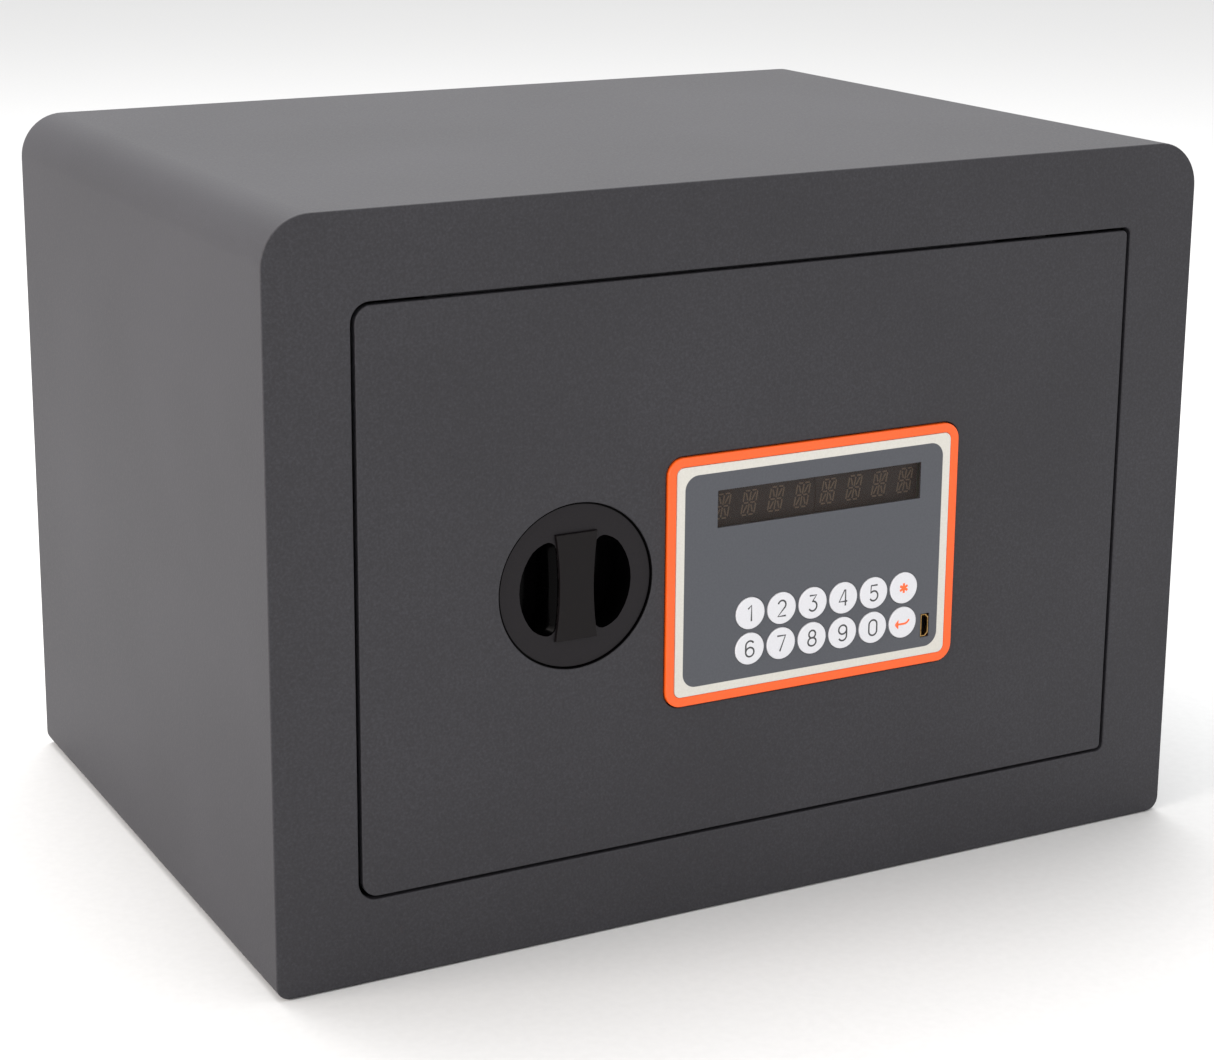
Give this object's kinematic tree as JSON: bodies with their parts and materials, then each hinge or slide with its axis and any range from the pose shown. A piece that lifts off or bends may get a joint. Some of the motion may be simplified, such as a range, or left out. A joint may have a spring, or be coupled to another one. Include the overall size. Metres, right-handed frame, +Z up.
{
  "type": "in-room safe",
  "caption": "Front-opening electronic room safe: welded steel body, flush hinged door with a turning knob that throws round bolts, keypad and display panel.",
  "frame": {"origin": "middle of the base, on the surface the safe stands on", "axes": "+X to the right seen from the front, +Y towards the back, +Z up"},
  "size_m": [0.35, 0.2512, 0.25],
  "materials": {
    "painted_steel": "fine textured powder coat, anthracite",
    "zinc_steel": "zinc plated",
    "black_plastic": "satin moulded black",
    "grey_plastic": "moulded dark grey",
    "orange_plastic": "satin moulded orange",
    "printed_film": "matt printed polyester, dark grey with a pale rim",
    "tinted_window": "clear brown tint",
    "display_resin": "dark potted display face",
    "key_white": "satin white with printed digits",
    "circuit_board": "solder mask",
    "brass": "stamped shell",
    "nylon": "natural",
    "felt": "needled felt",
    "battery_can": "printed sleeve"
  },
  "bodies": {
    "root": {"body_wrap": "painted_steel", "front_frame": "painted_steel", "back_plate": "painted_steel", "floor_mat": "felt", "hinge_bracket_top": "painted_steel", "hinge_bracket_bottom": "painted_steel", "door_stop_top": "painted_steel", "door_stop_bottom": "painted_steel"},
    "door": {"door_plate": "painted_steel", "hinge_lug_top": "zinc_steel", "hinge_lug_bottom": "zinc_steel", "hinge_pin_top": "zinc_steel", "hinge_pin_bottom": "zinc_steel", "hinge_bush_top": "nylon", "hinge_bush_bottom": "nylon", "bolt_guide": "zinc_steel", "door_inner_cover": "painted_steel", "cover_screw_1": "zinc_steel", "cover_screw_2": "zinc_steel", "cover_screw_3": "zinc_steel", "cover_screw_4": "zinc_steel", "knob_housing": "grey_plastic", "panel_bezel": "orange_plastic", "panel_overlay": "printed_film", "display_window": "tinted_window", "display_module_left": "display_resin", "display_module_right": "display_resin", "keypad_board": "circuit_board", "usb_socket": "brass", "lock_housing": "grey_plastic", "solenoid_body": "zinc_steel", "solenoid_bracket": "zinc_steel", "battery_holder": "black_plastic", "battery_1": "battery_can", "battery_2": "battery_can", "battery_3": "battery_can", "battery_4": "battery_can"},
    "knob": {"knob_body": "black_plastic", "knob_cap": "black_plastic", "knob_spindle": "zinc_steel", "knob_crank": "zinc_steel", "spindle_clip": "zinc_steel"},
    "bolts": {"bolt_carriage": "zinc_steel", "bolt_upper": "zinc_steel", "bolt_lower": "zinc_steel"},
    "plunger": {"solenoid_plunger": "zinc_steel"},
    "battery_lid": {"battery_lid": "grey_plastic"},
    "key_1_body": {"key_1": "key_white"},
    "key_2_body": {"key_2": "key_white"},
    "key_3_body": {"key_3": "key_white"},
    "key_4_body": {"key_4": "key_white"},
    "key_5_body": {"key_5": "key_white"},
    "key_star_body": {"key_star": "key_white"},
    "key_6_body": {"key_6": "key_white"},
    "key_7_body": {"key_7": "key_white"},
    "key_8_body": {"key_8": "key_white"},
    "key_9_body": {"key_9": "key_white"},
    "key_0_body": {"key_0": "key_white"},
    "key_enter_body": {"key_enter": "key_white"}
  },
  "joints": [
    {"name": "door_hinge", "type": "hinge", "parent": "root", "child": "door", "pos_m": [0.1121, -0.1154, 0.125], "axis": [0, 0, 1], "range_deg": [0, 110]},
    {"name": "knob_turn", "type": "hinge", "parent": "door", "child": "knob", "pos_m": [-0.0694, -0.1244, 0.1218], "axis": [0, -1, 0], "range_deg": [0, 60]},
    {"name": "bolt_slide", "type": "slide", "parent": "door", "child": "bolts", "axis": [-1, 0, 0], "range_m": [0, 0.015]},
    {"name": "plunger_slide", "type": "slide", "parent": "door", "child": "plunger", "axis": [0, 0, 1], "range_m": [0, 0.005]},
    {"name": "battery_lid_slide", "type": "slide", "parent": "door", "child": "battery_lid", "axis": [0, 1, 0], "range_m": [0, 0.02]},
    {"name": "key_1_press", "type": "slide", "parent": "door", "child": "key_1_body", "axis": [0, 1, 0], "range_m": [0, 0.0005], "stiffness_N_per_m": 1500},
    {"name": "key_2_press", "type": "slide", "parent": "door", "child": "key_2_body", "axis": [0, 1, 0], "range_m": [0, 0.0005], "stiffness_N_per_m": 1500},
    {"name": "key_3_press", "type": "slide", "parent": "door", "child": "key_3_body", "axis": [0, 1, 0], "range_m": [0, 0.0005], "stiffness_N_per_m": 1500},
    {"name": "key_4_press", "type": "slide", "parent": "door", "child": "key_4_body", "axis": [0, 1, 0], "range_m": [0, 0.0005], "stiffness_N_per_m": 1500},
    {"name": "key_5_press", "type": "slide", "parent": "door", "child": "key_5_body", "axis": [0, 1, 0], "range_m": [0, 0.0005], "stiffness_N_per_m": 1500},
    {"name": "key_star_press", "type": "slide", "parent": "door", "child": "key_star_body", "axis": [0, 1, 0], "range_m": [0, 0.0005], "stiffness_N_per_m": 1500},
    {"name": "key_6_press", "type": "slide", "parent": "door", "child": "key_6_body", "axis": [0, 1, 0], "range_m": [0, 0.0005], "stiffness_N_per_m": 1500},
    {"name": "key_7_press", "type": "slide", "parent": "door", "child": "key_7_body", "axis": [0, 1, 0], "range_m": [0, 0.0005], "stiffness_N_per_m": 1500},
    {"name": "key_8_press", "type": "slide", "parent": "door", "child": "key_8_body", "axis": [0, 1, 0], "range_m": [0, 0.0005], "stiffness_N_per_m": 1500},
    {"name": "key_9_press", "type": "slide", "parent": "door", "child": "key_9_body", "axis": [0, 1, 0], "range_m": [0, 0.0005], "stiffness_N_per_m": 1500},
    {"name": "key_0_press", "type": "slide", "parent": "door", "child": "key_0_body", "axis": [0, 1, 0], "range_m": [0, 0.0005], "stiffness_N_per_m": 1500},
    {"name": "key_enter_press", "type": "slide", "parent": "door", "child": "key_enter_body", "axis": [0, 1, 0], "range_m": [0, 0.0005], "stiffness_N_per_m": 1500}
  ],
  "couplings": [
    {"joint": "knob_turn", "follows": "bolt_slide", "rad_per_m": 69.8}
  ]
}
